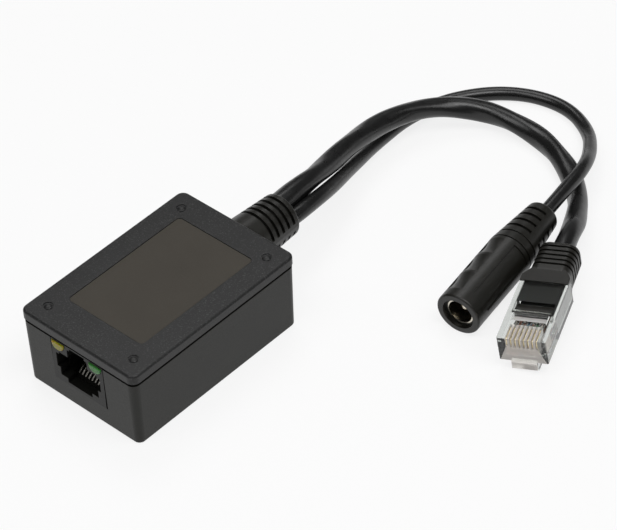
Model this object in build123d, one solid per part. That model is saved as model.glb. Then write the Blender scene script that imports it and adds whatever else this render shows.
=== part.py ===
from build123d import *
import os

# Power over ethernet splitter box with a network socket, two free cables,
# a network plug and an in-line power socket.
# Millimetres. X runs across the network socket, Y from the socket face to the cables,
# Z up. The origin is at the middle of the case's underside.

# Case
case_width = 36.0
case_length = 53.2
parting_height = 18.9
lid_thickness = 2.4
lid_overhang = 0.13
case_corner_radius = 2.0
case_wall = 1.6
case_floor = 1.6
case_draft = 1.0
case_foot_fillet = 0.6
lid_edge_fillet = 0.6
shadow_groove_depth = 0.5
shadow_groove_height = 0.8
lid_lip_depth = 1.6
lid_lip_thickness = 1.1
lid_lip_clearance = 0.15
moulding_clearance = 0.15

# Label recess and the round marks over the lid's pins
label_width = 23.6
label_length = 36.5
label_centre_y = 0.84
label_corner_radius = 1.2
label_recess_depth = 0.3
label_thickness = 0.2
label_clearance = 0.12
mark_diameter = 2.1
mark_height = 0.3
mark_ring_width = 0.25
mark_ring_depth = 0.15

# Posts of the case and pins of the lid
post_inset_x = 4.5
post_front_inset = 4.85
post_back_inset = 5.0
post_diameter = 5.2
post_shoulder_diameter = 7.4
post_top = 15.0
pin_diameter = 2.6
pin_length = 9.0
pin_clearance = 0.1

# Circuit board
board_thickness = 1.6
board_underside = 4.1
board_side_clearance = 0.87
board_end_clearance = 0.57
board_hole_clearance = 0.2
lead_below_board = 0.9
lead_hole_clearance = 0.15

# Network socket
jack_centre_x = -0.37
jack_width = 16.4
jack_height = 12.4
jack_depth = 21.0
jack_setback = 0.12
jack_left_gap = 0.05
jack_right_gap = 0.3
plug_opening_width = 12.0
plug_opening_height = 7.0
plug_opening_bottom = 2.05
plug_opening_depth = 14.5
floor_recess_width = 7.75
floor_recess_height = 1.25
side_relief_width = 13.9
side_relief_bottom = 4.3
side_relief_height = 4.1
side_relief_depth = 3.0
latch_step_width = 6.3
latch_step_height = 2.25
latch_notch_width = 4.75
latch_notch_height = 0.7
latch_notch_depth = 9.0
jack_peg_diameter = 3.2
jack_peg_offset = 6.3
jack_peg_from_face = 9.35
jack_peg_length = 2.2

# Spring contacts of the network socket
contact_count = 8
contact_pitch = 1.02
contact_width = 0.36
contact_thickness = 0.3
contact_bend_from_face = 3.4
contact_hairpin = 0.35
contact_knee_from_face = 6.85
contact_knee_height = 2.1
contact_tip_from_face = 13.3
contact_tip_height = 5.5
contact_rows_from_face = [13.65, 16.15]
carrier_plate_height = 1.0
carrier_lead = 0.7
comb_underside = 2.4
comb_slot_depth = 1.3
carrier_clearance = 0.1
carrier_back_thickness = 3.0

# Indicator lamps
lamp_width = 3.8
lamp_height = 2.1
lamp_offset = 5.9
lamp_bottom = 9.85
lamp_depth = 7.0
lamp_protrusion = 0.4
lamp_corner_radius = 1.8
lamp_front_fillet = 0.35
lamp_clearance = 0.1
lamp_lead_side = 0.5
lamp_lead_pitch = 1.6

# Strain relief
relief_axis_z = 13.8
relief_base_radius = 6.4
relief_end_radius = 5.65
relief_length = 14.55
relief_end_fillet = 0.5
relief_neck_radius = 4.0
relief_flange_radius = 5.0
relief_flange_thickness = 1.5
relief_gap_to_lid = 0.05
relief_gap_to_wall = 0.35
relief_groove_count = 5
relief_groove_first = 5.1
relief_groove_pitch = 1.9
relief_groove_width = 0.85
relief_groove_depth = 0.95
relief_spine_width = 2.2

# Cables. Each route is the list of the points between its straight runs.
network_cable_diameter = 5.2
power_cable_diameter = 3.5
cable_seat_gap = 0.05
network_cable_route = [
    (-2.1, 41.25, 15.0),
    (-2.1, 49.5, 15.0),
    (-4.7, 61.5, 12.4),
    (-8.0, 75.5, 9.9),
    (-8.2, 89.3, 8.4),
    (-3.9, 102.0, 6.6),
    (6.0, 110.9, 4.2),
    (19.0, 112.9, 2.6),
    (31.8, 108.7, 2.6),
    (42.2, 100.6, 2.6),
    (48.8, 91.3, 5.2),
    (52.78, 83.21, 7.66),
    (55.12, 77.69, 7.5),
]
power_cable_route = [
    (2.0, 41.25, 12.9),
    (2.0, 49.5, 12.9),
    (-0.9, 60.8, 9.7),
    (-5.5, 73.0, 5.6),
    (-9.0, 85.0, 2.6),
    (-10.2, 97.5, 1.75),
    (-7.2, 109.6, 1.75),
    (-0.4, 119.0, 1.75),
    (8.7, 125.0, 1.75),
    (19.2, 126.4, 1.75),
    (28.7, 122.0, 1.9),
    (35.6, 113.6, 4.8),
    (40.4, 104.6, 8.0),
    (42.1, 95.25, 8.44),
    (43.44, 85.52, 7.9),
]

# Network plug, in its own frame: nose at Y = 0, cable at +Y, latch below
plug_heading = 23.0
plug_rise = 1.5
plug_tilt = 7.3
plug_width = 11.68
plug_height = 6.6
plug_length = 21.5
plug_edge_fillet = 0.3
plug_wire_diameter = 0.92
plug_wire_height = 1.7
plug_wire_start = 0.9
plug_channel_clearance = 0.04
blade_thickness = 0.35
blade_length = 4.4
blade_front = 0.45
blade_top_inset = 0.55
blade_nose_height = 4.2
blade_foot_front = 1.5
blade_slot_clearance = 0.06
crimp_pocket_width = 8.4
crimp_pocket_start = 6.3
crimp_pocket_length = 2.8
crimp_pocket_depth = 1.5
jacket_window_width = 9.3
jacket_window_start = 9.8
jacket_window_length = 3.0
jacket_cavity_width = 10.1
jacket_cavity_height = 4.5
jacket_cavity_floor = 1.0
jacket_cavity_start = 9.3
latch_root_width = 6.2
latch_root_depth = 2.95
latch_root_length = 5.9
latch_lever_width = 3.25
latch_lever_length = 15.0
latch_lever_thickness = 1.15

# Boot of the network plug
boot_length = 12.0
boot_neck_length = 2.65
boot_front_width = 11.0
boot_front_height = 6.9
boot_neck_width = 9.9
boot_neck_height = 7.4
boot_end_width = 9.9
boot_end_height = 8.2
boot_end_fillet = 1.3
boot_front_radius = 1.4
boot_neck_radius = 2.2
boot_end_radius = 3.0
boot_gap = 0.05
tongue_clearance = 0.1
boot_groove_count = 5
boot_groove_first = 4.25
boot_groove_pitch = 1.45
boot_groove_width = 0.6
boot_groove_depth = 0.5
hood_reach = 2.0
hood_thickness = 0.7
hood_recess_depth = 0.4

# In-line power socket, in its own frame: mouth at Y = 0, cable at +Y
socket_heading = 7.8
socket_rise = 3.13
socket_length = 38.5
socket_radius = 5.75
socket_rim_fillet = 0.5
socket_taper_start = 23.0
socket_tail_radius = 4.0
socket_tail_fillet = 1.1
socket_ring_places = [22.9, 25.4]
socket_ring_widths = [0.35, 0.55]
socket_ring_depth = 0.3
socket_groove_places = [27.9, 30.4, 32.9, 35.4]
socket_groove_width = 0.85
socket_groove_depth = 0.8
socket_groove_span = 142.0
socket_spine_angle = 36.0
grip_recess_depth = 0.35
grip_recess_span = 62.0
grip_long_ends = (4.0, 21.6)
grip_ridge_places = [2.4, 9.2, 16.0, 22.2]
grip_ridge_width = 0.7
grip_scallop_depth = 0.45
mouth_radius = 4.1
mouth_depth = 1.1
sleeve_outer_radius = 3.45
sleeve_inner_radius = 3.1
sleeve_length = 10.5
sleeve_clearance = 0.05
socket_pin_radius = 1.0
socket_pin_tip = 2.6
socket_pin_end = 12.5
socket_insulator_front = 10.0
socket_insulator_flange = 1.6

# Parts on the board. An offset gives the middle's distance from the board's left or right
# edge, and from the network socket's face or back or the board's back edge. Sizes follow.
line_transformer_offset = (7.9, 9.25)
line_transformer_size = (11.4, 7.4, 5.0)
flyback_offset = (8.9, 8.85)
flyback_core_size = (13.0, 12.0, 6.0)
flyback_core_underside = 2.9
flyback_leg_width = 2.9
flyback_window_width = 3.4
flyback_window_length = 8.8
flyback_tube_wall = 0.6
flyback_flange_thickness = 0.6
flyback_part_clearance = 0.15
flyback_base_thickness = 1.1
flyback_winding_thickness = 0.95
flyback_pin_diameter = 0.7
flyback_pin_pitch = 2.4
flyback_pin_inset = 0.9
input_capacitor_offset = (3.1, 18.35)
input_capacitor_radius = 3.0
input_capacitor_length = 11.0
output_capacitor_offset = (5.4, 9.3)
output_capacitor_radius = 4.0
output_capacitor_length = 11.5
capacitor_lead_diameter = 0.6
input_lead_pitch = 2.5
output_lead_pitch = 3.5
input_lead_reach = 1.3
inductor_offset = (3.5, 17.35)
inductor_size = (6.8, 6.8, 4.2)
right_rectifier_offset = (3.4, 10.35)
left_rectifier_offset = (3.2, 22.55)
rectifier_size = (3.9, 4.7, 2.5)
controller_offset = (11.8, 17.55)
controller_size = (3.9, 4.9, 1.5)
transistor_offset = (12.9, 18.25)
transistor_size = (6.4, 5.6, 2.3)
output_diode_offset = (3.5, 22.55)
output_diode_size = (4.3, 2.5, 2.2)
optocoupler_offset = (5.2, 17.75)
optocoupler_size = (4.6, 3.9, 3.4)
chip_capacitor_count = 4
chip_capacitor_first_x = -3.6
chip_capacitor_pitch = 1.7
chip_capacitor_behind_jack = 1.65
chip_capacitor_size = (1.25, 2.0, 0.9)
left_resistor_x = -8.6
left_resistor_insets = [6.3, 3.3]
right_resistor_xs = [7.0, 9.0]
right_resistor_inset = 3.1
chip_resistor_size = (1.25, 2.0, 0.5)

# Conductors between the strain relief and the board
core_diameter = 0.9
core_pitch = 1.05
core_pad_pitch = 1.8
core_pad_first_x = -5.6
core_pad_insets = [8.1, 5.7]
core_first_run = 1.2
core_fall = 3.0
power_core_diameter = 1.3
power_core_spread = 1.7
power_pad_first_x = 1.7
power_pad_pitch = 2.4
power_pad_inset = 6.3

# Worked out from the sizes above
total_height = parting_height + lid_thickness
base_width = case_width - 2 * lid_overhang
base_length = case_length - 2 * lid_overhang
inner_width = base_width - 2 * case_wall
inner_length = base_length - 2 * case_wall
board_width = inner_width - 2 * board_side_clearance
board_length = inner_length - 2 * board_end_clearance
board_top = board_underside + board_thickness
jack_left = jack_centre_x - jack_width / 2
jack_right = jack_centre_x + jack_width / 2
jack_face_y = -base_length / 2 + jack_setback
jack_back_y = jack_face_y + jack_depth
jack_opening_z = board_top + plug_opening_bottom
jack_peg_y = jack_face_y + jack_peg_from_face
pin_places = [
    (side * (case_width / 2 - post_inset_x), y)
    for side in (-1, 1) for y in (-case_length / 2 + post_front_inset, case_length / 2 - post_back_inset)
]
board_left = -board_width / 2
board_right = board_width / 2
board_back = board_length / 2
line_transformer_place = (board_left + line_transformer_offset[0], jack_back_y + line_transformer_offset[1])
flyback_place = (board_right - flyback_offset[0], jack_back_y + flyback_offset[1])
input_capacitor_place = (board_left + input_capacitor_offset[0], jack_face_y + input_capacitor_offset[1])
output_capacitor_place = (board_right - output_capacitor_offset[0], board_back - output_capacitor_offset[1])
inductor_place = (board_right - inductor_offset[0], jack_face_y + inductor_offset[1])
rectifier_places = [
    (board_right - right_rectifier_offset[0], jack_face_y + right_rectifier_offset[1]),
    (board_left + left_rectifier_offset[0], jack_face_y + left_rectifier_offset[1]),
]
controller_place = (board_left + controller_offset[0], jack_back_y + controller_offset[1])
transistor_place = (board_right - transistor_offset[0], jack_back_y + transistor_offset[1])
output_diode_place = (board_right - output_diode_offset[0], jack_face_y + output_diode_offset[1])
optocoupler_place = (board_left + optocoupler_offset[0], jack_back_y + optocoupler_offset[1])
chip_capacitor_places = [
    (chip_capacitor_first_x + index * chip_capacitor_pitch, jack_back_y + chip_capacitor_behind_jack)
    for index in range(chip_capacitor_count)
]
chip_resistor_places = [(left_resistor_x, board_back - inset) for inset in left_resistor_insets]
chip_resistor_places += [(x, board_back - right_resistor_inset) for x in right_resistor_xs]
contact_offsets = [(i - (contact_count - 1) / 2) * contact_pitch for i in range(contact_count)]
plug_end = plug_length + boot_gap + boot_length


def block(x, y, z):
    """A box between two values on each axis."""
    size = (x[1] - x[0], y[1] - y[0], z[1] - z[0])
    return Pos((x[0] + x[1]) / 2, (y[0] + y[1]) / 2, (z[0] + z[1]) / 2) * Box(*size)


def block_on(place, size, bottom):
    """A box with its middle over a place and its underside at a height."""
    return Pos(place[0], place[1], bottom + size[2] / 2) * Box(*size)


def upright(place, radius, bottom, top):
    """A round bar that stands between two heights."""
    return Pos(place[0], place[1], (bottom + top) / 2) * Cylinder(radius, top - bottom)


def along_y(x, z, radius, start, end):
    """A round bar that lies along Y."""
    return Pos(x, (start + end) / 2, z) * Rot(90, 0, 0) * Cylinder(radius, end - start)


def rounded_slab(width, length, radius, bottom, top, centre_y=0.0):
    """A plate with round corners between two heights."""
    plate = Plane.XY.offset(bottom) * RectangleRounded(width, length, radius)
    return Pos(0, centre_y, 0) * extrude(plate, top - bottom)


def strip(points, thickness, width):
    """A bent metal strip: its side view lies in Y and Z, its width along X."""
    side_view = Plane.YZ * trace(Polyline(*points), thickness)
    return Pos(-width / 2, 0, 0) * extrude(side_view, width)


def tube_route(points, name=None, diameter=1.0):
    """Straight runs joined by tangent arcs, each as large as its two runs allow."""
    corners = [Vector(*point) for point in points]
    radii = []
    for before, corner, after in zip(corners, corners[1:], corners[2:]):
        arriving = corner - before
        leaving = after - corner
        half_turn = radians_of(arriving.get_angle(leaving)) / 2
        radii.append(0.45 * min(arriving.length, leaving.length) / tangent(half_turn))
    if name:
        print(name, "radii", [round(radius, 1) for radius in radii], "diameter", diameter)
    return FilletPolyline(*corners, radius=radii)


def radians_of(angle):
    return angle * 3.141592653589793 / 180


def tangent(angle):
    leg = Vector(1, 0, 0).rotate(Axis.Z, angle * 180 / 3.141592653589793)
    return leg.Y / leg.X


def round_tube(points, diameter, name=None):
    """A round cable or wire along a route."""
    path = tube_route(points, name, diameter)
    start = Plane(origin=path @ 0, z_dir=path % 0)
    tube = sweep(start * Circle(diameter / 2), path=path)
    if name:
        section = 3.141592653589793 * diameter**2 / 4
        print(name, "length", round(path.length, 1), "volume over section times length",
              round(tube.volume / (section * path.length), 4))
    return tube


def save(name, shape):
    """One node, as one STEP file of separate solids."""
    solids = shape.solids()
    node = solids[0] if len(solids) == 1 else Compound(children=list(solids))
    node.label = name
    export_step(node, f"parts/{name}.step")


def make_case_base():
    """Moulded tub, open at the top, with the socket's window and the cable notch."""
    rim = Plane.XY.offset(parting_height)
    outer = extrude(
        rim * RectangleRounded(base_width, base_length, case_corner_radius),
        -parting_height, taper=case_draft)
    outer = fillet(outer.faces().sort_by(Axis.Z)[0].edges(), case_foot_fillet)
    inner = extrude(
        rim * RectangleRounded(inner_width, inner_length, max(case_corner_radius - case_wall, 0.4)),
        -(parting_height - case_floor), taper=case_draft)
    tub = outer - inner
    for place in pin_places:
        shoulder = upright(place, post_shoulder_diameter / 2, case_floor, board_underside)
        post = upright(place, post_diameter / 2, case_floor, post_top)
        tub += (shoulder + post) & outer
        bore_bottom = parting_height - pin_length - moulding_clearance
        tub -= upright(place, pin_diameter / 2 + pin_clearance, bore_bottom, post_top)
    window = block(
        (jack_left - jack_left_gap, jack_right + jack_right_gap),
        (-case_length / 2 - 1, -inner_length / 2 + 1),
        (board_top - moulding_clearance, parting_height + 1))
    tub -= window
    notch_radius = relief_neck_radius + moulding_clearance
    back = (inner_length / 2 - 1, case_length / 2 + 1)
    tub -= along_y(0, relief_axis_z, notch_radius, *back)
    tub -= block((-notch_radius, notch_radius), back, (relief_axis_z, parting_height + 1))
    groove_bottom = parting_height - shadow_groove_height
    groove = rounded_slab(case_width, case_length, case_corner_radius, groove_bottom, parting_height)
    groove -= rounded_slab(
        base_width - 2 * shadow_groove_depth, base_length - 2 * shadow_groove_depth,
        case_corner_radius - shadow_groove_depth, groove_bottom, parting_height)
    return tub - groove


def make_lid():
    """Moulded lid with a locating lip, press pins and a recess for the label."""
    plate = rounded_slab(case_width, case_length, case_corner_radius, parting_height, total_height)
    plate = fillet(plate.faces().sort_by(Axis.Z)[-1].edges(), lid_edge_fillet)
    plate -= rounded_slab(
        label_width, label_length, label_corner_radius,
        total_height - label_recess_depth, total_height, label_centre_y)
    lip_width = inner_width - 2 * lid_lip_clearance - 2 * lid_lip_depth * 0.02
    lip_length = inner_length - 2 * lid_lip_clearance - 2 * lid_lip_depth * 0.02
    lip_bottom = parting_height - lid_lip_depth
    lip = rounded_slab(lip_width, lip_length, 0.4, lip_bottom, parting_height)
    lip -= rounded_slab(
        lip_width - 2 * lid_lip_thickness, lip_length - 2 * lid_lip_thickness, 0.3,
        lip_bottom, parting_height)
    lip -= block(
        (jack_left - jack_left_gap - moulding_clearance, jack_right + jack_right_gap + moulding_clearance),
        (-case_length / 2, 0), (lip_bottom, parting_height))
    flange_gap = relief_flange_radius + moulding_clearance
    lip -= block((-flange_gap, flange_gap), (0, case_length / 2), (lip_bottom, parting_height))
    tongue_side = relief_neck_radius
    tongue = block(
        (-tongue_side, tongue_side),
        (inner_length / 2, base_length / 2 - shadow_groove_depth),
        (relief_axis_z, parting_height))
    tongue -= along_y(0, relief_axis_z, relief_neck_radius + moulding_clearance, 0, case_length)
    lid = plate + lip + tongue
    mark_radius = mark_diameter / 2
    dome_radius = (mark_radius**2 + mark_height**2) / (2 * mark_height)
    for place in pin_places:
        lid += upright(place, pin_diameter / 2, parting_height - pin_length, parting_height + 0.5)
        dome = Pos(place[0], place[1], total_height + mark_height - dome_radius) * Sphere(dome_radius)
        lid += dome & upright(place, mark_radius, total_height - 0.5, total_height + 1)
        ring_bottom = total_height - mark_ring_depth
        lid -= upright(place, mark_radius + mark_ring_width, ring_bottom, total_height + 1) - upright(
            place, mark_radius, ring_bottom, total_height + 1)
    return lid


def make_label():
    """Plain film that lies in the lid's recess."""
    bottom = total_height - label_recess_depth
    return rounded_slab(
        label_width - 2 * label_clearance, label_length - 2 * label_clearance,
        label_corner_radius - label_clearance, bottom, bottom + label_thickness, label_centre_y)


def sign(value):
    return 1 if value > 0 else -1


def board_holes():
    """Round bars where the board is drilled or notched."""
    below = board_underside - 1
    above = board_top + 1
    holes = []
    reach = post_diameter / 2 + board_hole_clearance
    for x, y in pin_places:
        holes.append(upright((x, y), reach, below, above))
        across = sorted((x, x * 2))
        along = sorted((y, y * 2))
        inner_x = sorted((x - reach * sign(x), x * 2))
        inner_y = sorted((y - reach * sign(y), y * 2))
        holes.append(block(across, inner_y, (below, above)))
        holes.append(block(inner_x, along, (below, above)))
    for side in (-1, 1):
        peg = (jack_centre_x + side * jack_peg_offset, jack_peg_y)
        holes.append(upright(peg, jack_peg_diameter / 2 + board_hole_clearance, below, above))
    for index, offset in enumerate(contact_offsets):
        place = (jack_centre_x + offset, contact_row(index))
        holes.append(upright(place, contact_width / 2 + lead_hole_clearance, below, above))
    for place in lamp_lead_places():
        holes.append(upright(place, lamp_lead_side / 2 + 2 * lead_hole_clearance, below, above))
    for place in flyback_pin_places():
        holes.append(upright(place, flyback_pin_diameter / 2 + lead_hole_clearance, below, above))
    for place in capacitor_lead_places():
        holes.append(upright(place, capacitor_lead_diameter / 2 + lead_hole_clearance, below, above))
    return holes


def make_circuit_board():
    """Board on the four shoulders, notched round the posts and drilled for every lead."""
    board = block(
        (-board_width / 2, board_width / 2), (-board_length / 2, board_length / 2),
        (board_underside, board_top))
    for hole in board_holes():
        board -= hole
    return board


def make_jack_housing():
    """Moulded socket body: stepped plug opening, lamp channels and the carrier's bay."""
    housing = block((jack_left, jack_right), (jack_face_y, jack_back_y), (board_top, board_top + jack_height))

    def opening(width, depth, bottom, height):
        return block(
            (jack_centre_x - width / 2, jack_centre_x + width / 2),
            (jack_face_y - 1, jack_face_y + depth), (bottom, bottom + height))

    top_of_opening = jack_opening_z + plug_opening_height
    housing -= opening(plug_opening_width, plug_opening_depth, jack_opening_z, plug_opening_height)
    housing -= opening(
        floor_recess_width, plug_opening_depth, jack_opening_z - floor_recess_height,
        floor_recess_height)
    housing -= opening(
        side_relief_width, side_relief_depth, board_top + side_relief_bottom, side_relief_height)
    housing -= opening(latch_step_width, plug_opening_depth, top_of_opening, latch_step_height)
    housing -= opening(
        latch_notch_width, latch_notch_depth, top_of_opening + latch_step_height,
        latch_notch_height)
    for side in (-1, 1):
        housing -= lamp_bar(side, jack_face_y - 1, jack_back_y + 1, lamp_clearance)
        peg = (jack_centre_x + side * jack_peg_offset, jack_peg_y)
        housing += upright(peg, jack_peg_diameter / 2, board_top - jack_peg_length, board_top + 0.2)
    bay_side = carrier_side() + carrier_clearance
    bay_front = jack_face_y + contact_bend_from_face - carrier_lead - carrier_clearance
    housing -= block(
        (jack_centre_x - bay_side, jack_centre_x + bay_side), (bay_front, jack_back_y + 1),
        (board_top - 1, jack_opening_z))
    housing -= block(
        (jack_centre_x - plug_opening_width / 2, jack_centre_x + plug_opening_width / 2),
        (jack_face_y + plug_opening_depth, jack_back_y + 1), (board_top - 1, top_of_opening))
    return housing


def carrier_side():
    """Half width of the contact carrier's plate."""
    return contact_offsets[-1] + contact_pitch


def make_contact_carrier():
    """Insert that holds the eight springs: plate, comb and back wall."""
    side = carrier_side()
    plate_bottom = board_top + carrier_clearance
    plate_top = plate_bottom + carrier_plate_height
    comb_y = jack_face_y + plug_opening_depth + carrier_clearance
    front = jack_face_y + contact_bend_from_face - carrier_lead
    back_side = plug_opening_width / 2 - carrier_clearance
    back_front = jack_back_y - carrier_back_thickness
    span = (jack_centre_x - side, jack_centre_x + side)
    carrier = block(span, (front, back_front + 0.5), (plate_bottom, plate_top))
    window_side = contact_offsets[-1] + contact_width
    carrier -= block(
        (jack_centre_x - window_side, jack_centre_x + window_side),
        (contact_row(0) - 0.5, contact_row(1) + 0.5), (plate_bottom, plate_top))
    carrier += block(
        (jack_centre_x - back_side, jack_centre_x + back_side), (back_front, jack_back_y - 0.1),
        (plate_bottom, jack_opening_z + plug_opening_height - carrier_clearance))
    comb_bottom = jack_opening_z + comb_underside
    comb_top = jack_opening_z + plug_opening_height - carrier_clearance
    comb = block(span, (comb_y, back_front), (comb_bottom, comb_top))
    slot_top = jack_opening_z + contact_tip_height
    for offset in contact_offsets:
        middle = jack_centre_x + offset
        half = contact_width / 2 + carrier_clearance
        comb -= block(
            (middle - half, middle + half), (comb_y - 1, comb_y + comb_slot_depth),
            (comb_bottom, slot_top))
    return carrier + comb


def contact_row(index):
    """The springs' tails stand in two rows, turn about."""
    return jack_face_y + contact_rows_from_face[index % 2]


def make_contacts():
    """Eight bent spring wires, from the board round the hairpin to the comb."""
    run_height = board_top + carrier_clearance + carrier_plate_height + contact_thickness / 2
    tail_end = board_underside - lead_below_board
    bend_y = jack_face_y + contact_bend_from_face
    tip_y = jack_face_y + contact_tip_from_face
    comb_y = jack_face_y + plug_opening_depth + carrier_clearance
    tip_z = jack_opening_z + contact_tip_height - contact_thickness
    springs = []
    for index, offset in enumerate(contact_offsets):
        tail_y = contact_row(index)
        side_view = [
            (tail_y, tail_end),
            (tail_y, run_height),
            (bend_y + contact_hairpin, run_height),
            (bend_y, run_height + contact_hairpin),
            (bend_y + contact_hairpin, run_height + 2 * contact_hairpin),
            (jack_face_y + contact_knee_from_face, jack_opening_z + contact_knee_height),
            (tip_y, tip_z - 0.6),
            (comb_y + 0.9, tip_z - 0.75),
        ]
        springs.append(Pos(jack_centre_x + offset, 0, 0) * strip(side_view, contact_thickness, contact_width))
    return Compound(children=springs)


def lamp_lead_places():
    """Two leads for each lamp, behind the socket body."""
    return [
        (jack_centre_x + side * lamp_offset + half * lamp_lead_pitch / 2, jack_back_y + 0.6)
        for side in (-1, 1) for half in (-1, 1)
    ]


def lamp_bar(side, start, end, gap):
    """Bar with round lower corners, of the lamp's section or of its channel's."""
    middle = jack_centre_x + side * lamp_offset
    half = lamp_width / 2 + gap
    bottom = board_top + lamp_bottom
    bar = block((middle - half, middle + half), (start, end), (bottom - gap, bottom + lamp_height + gap))
    return fillet(bar.edges().filter_by(Axis.Y).group_by(Axis.Z)[0], lamp_corner_radius + gap)


def make_lamp(side):
    """Indicator lamp: a moulded bar with a softly rounded front."""
    lamp = lamp_bar(side, jack_face_y - lamp_protrusion, jack_face_y + lamp_depth, 0)
    return fillet(lamp.faces().sort_by(Axis.Y)[0].edges(), lamp_front_fillet)


def make_lamp_leads():
    """Leads that run back along the channels and down into the board."""
    height = board_top + lamp_bottom + lamp_height / 2
    leads = []
    for x, y in lamp_lead_places():
        side_view = [(jack_face_y + lamp_depth, height), (y, height), (y, board_underside - lead_below_board)]
        leads.append(Pos(x, 0, 0) * strip(side_view, lamp_lead_side, lamp_lead_side))
    return Compound(children=leads)


def line_transformer_underside():
    return board_top + 0.2


def make_line_transformer():
    """Moulded block of the line transformers, with a dimple at pin one."""
    body = block_on(line_transformer_place, line_transformer_size, line_transformer_underside())
    body = chamfer(body.faces().sort_by(Axis.Z)[-1].edges(), 0.3)
    x, y = line_transformer_place
    top = line_transformer_underside() + line_transformer_size[2]
    dimple = (x - line_transformer_size[0] / 2 + 1.3, y - line_transformer_size[1] / 2 + 1.3)
    return body - upright(dimple, 0.5, top - 0.2, top + 1)


def make_line_transformer_leads():
    """Gull-wing leads along both long sides."""
    x, y = line_transformer_place
    reach = line_transformer_size[1] / 2
    shoulder = line_transformer_underside() + 1.6
    foot = board_top + 0.1
    side_view = [(reach, shoulder), (reach + 0.45, shoulder), (reach + 0.7, foot), (reach + 1.4, foot)]
    lead = strip(side_view, 0.2, 0.45)
    leads = []
    for index in range(7):
        for turn in (0, 180):
            leads.append(Pos(x + (index - 3) * 1.5, y, 0) * Rot(0, 0, turn) * lead)
    return Compound(children=leads)


def flyback_core_z():
    bottom = board_top + flyback_core_underside
    return bottom, bottom + flyback_core_size[2]


def make_flyback_core():
    """Two ferrite E halves, closed round the windows."""
    x, y = flyback_place
    bottom, top = flyback_core_z()
    core = block_on(flyback_place, flyback_core_size, bottom)
    for side in (-1, 1):
        near = flyback_leg_width / 2
        far = near + flyback_window_width
        core -= block(
            sorted((x + side * near, x + side * far)),
            (y - flyback_window_length / 2, y + flyback_window_length / 2), (bottom, top))
    return core


def flyback_tube_size():
    """Width and height of the bobbin's tube round the middle leg."""
    wall = flyback_tube_wall + flyback_part_clearance
    return flyback_leg_width + 2 * wall, flyback_core_size[2] + 2 * wall


def make_flyback_bobbin():
    """Bobbin: tube, two flanges and a base with a rail under each end."""
    x, y = flyback_place
    bottom, top = flyback_core_z()
    middle = (bottom + top) / 2
    width, height = flyback_tube_size()
    length = flyback_window_length - 2 * flyback_part_clearance
    half_flange = flyback_leg_width / 2 + flyback_window_width - flyback_part_clearance
    bobbin = Pos(x, y, middle) * Box(width, length, height)
    base_top = board_top + flyback_base_thickness
    for side in (-1, 1):
        ends = sorted((y + side * length / 2, y + side * (length / 2 - flyback_flange_thickness)))
        bobbin += block((x - half_flange, x + half_flange), ends, (base_top, middle + height / 2 + 1.2))
        outer = y + side * flyback_core_size[1] / 2
        inner = y + side * (length / 2 - flyback_flange_thickness)
        rail_top = bottom - flyback_part_clearance
        bobbin += block((x - half_flange, x + half_flange), sorted((outer, inner)), (base_top, rail_top))
    bobbin += block(
        (x - half_flange, x + half_flange),
        (y - flyback_core_size[1] / 2, y + flyback_core_size[1] / 2), (board_top, base_top))
    leg_width = flyback_leg_width + 2 * flyback_part_clearance
    leg_height = flyback_core_size[2] + 2 * flyback_part_clearance
    return bobbin - Pos(x, y, middle) * Box(leg_width, flyback_core_size[1] + 2, leg_height)


def make_flyback_winding():
    """Taped winding between the bobbin's flanges."""
    x, y = flyback_place
    bottom, top = flyback_core_z()
    middle = (bottom + top) / 2
    width, height = flyback_tube_size()
    length = flyback_window_length - 2 * flyback_part_clearance - 2 * flyback_flange_thickness - 0.2
    added = 2 * flyback_winding_thickness
    outer = RectangleRounded(width + added, height + added, 0.9)
    inner = Rectangle(width + 0.1, height + 0.1)
    section = Plane(origin=(x, y - length / 2, middle), x_dir=(1, 0, 0), z_dir=(0, 1, 0)) * (outer - inner)
    return extrude(section, length)


def flyback_pin_places():
    x, y = flyback_place
    reach = flyback_core_size[1] / 2 - flyback_pin_inset
    return [
        (x + step * flyback_pin_pitch, y + side * reach)
        for side in (-1, 1) for step in (-1.5, -0.5, 0.5, 1.5)
    ]


def make_flyback_pins():
    bottom = board_underside - lead_below_board
    pins = [upright(place, flyback_pin_diameter / 2, bottom, board_top) for place in flyback_pin_places()]
    return Compound(children=pins)


def can_profile(radius, length):
    """Half outline of an electrolytic capacitor, its base at height 0."""
    crimp = 0.35
    outline = Polyline(
        (0, 0), (radius - 0.5, 0), (radius, 0.4), (radius, 1.4), (radius - crimp, 1.8),
        (radius, 2.2), (radius, length - 0.5), (radius - 0.5, length), (0, length), close=True)
    return revolve(Plane.XZ * make_face(outline), Axis.Z)


def capacitor_lead_places():
    x, y = input_capacitor_place
    places = [(x + side * input_lead_pitch / 2, y + input_lead_reach) for side in (-1, 1)]
    x, y = output_capacitor_place
    return places + [(x + side * output_lead_pitch / 2, y) for side in (-1, 1)]


def input_capacitor_axis_z():
    return board_top + input_capacitor_radius


def make_input_capacitor():
    """Can that lies on the board beside the network socket."""
    x, y = input_capacitor_place
    can = can_profile(input_capacitor_radius, input_capacitor_length)
    return Pos(x, y, input_capacitor_axis_z()) * Rot(90, 0, 0) * can


def make_output_capacitor():
    """Can that stands on the board."""
    x, y = output_capacitor_place
    return Pos(x, y, board_top) * can_profile(output_capacitor_radius, output_capacitor_length)


def make_capacitor_leads():
    bottom = board_underside - lead_below_board
    leads = []
    for x, y in capacitor_lead_places()[:2]:
        height = input_capacitor_axis_z()
        side_view = [(input_capacitor_place[1], height), (y, height), (y, bottom)]
        leads.append(Pos(x, 0, 0) * strip(side_view, capacitor_lead_diameter, capacitor_lead_diameter))
    for place in capacitor_lead_places()[2:]:
        leads.append(upright(place, capacitor_lead_diameter / 2, bottom, board_top))
    return Compound(children=leads)


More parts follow.
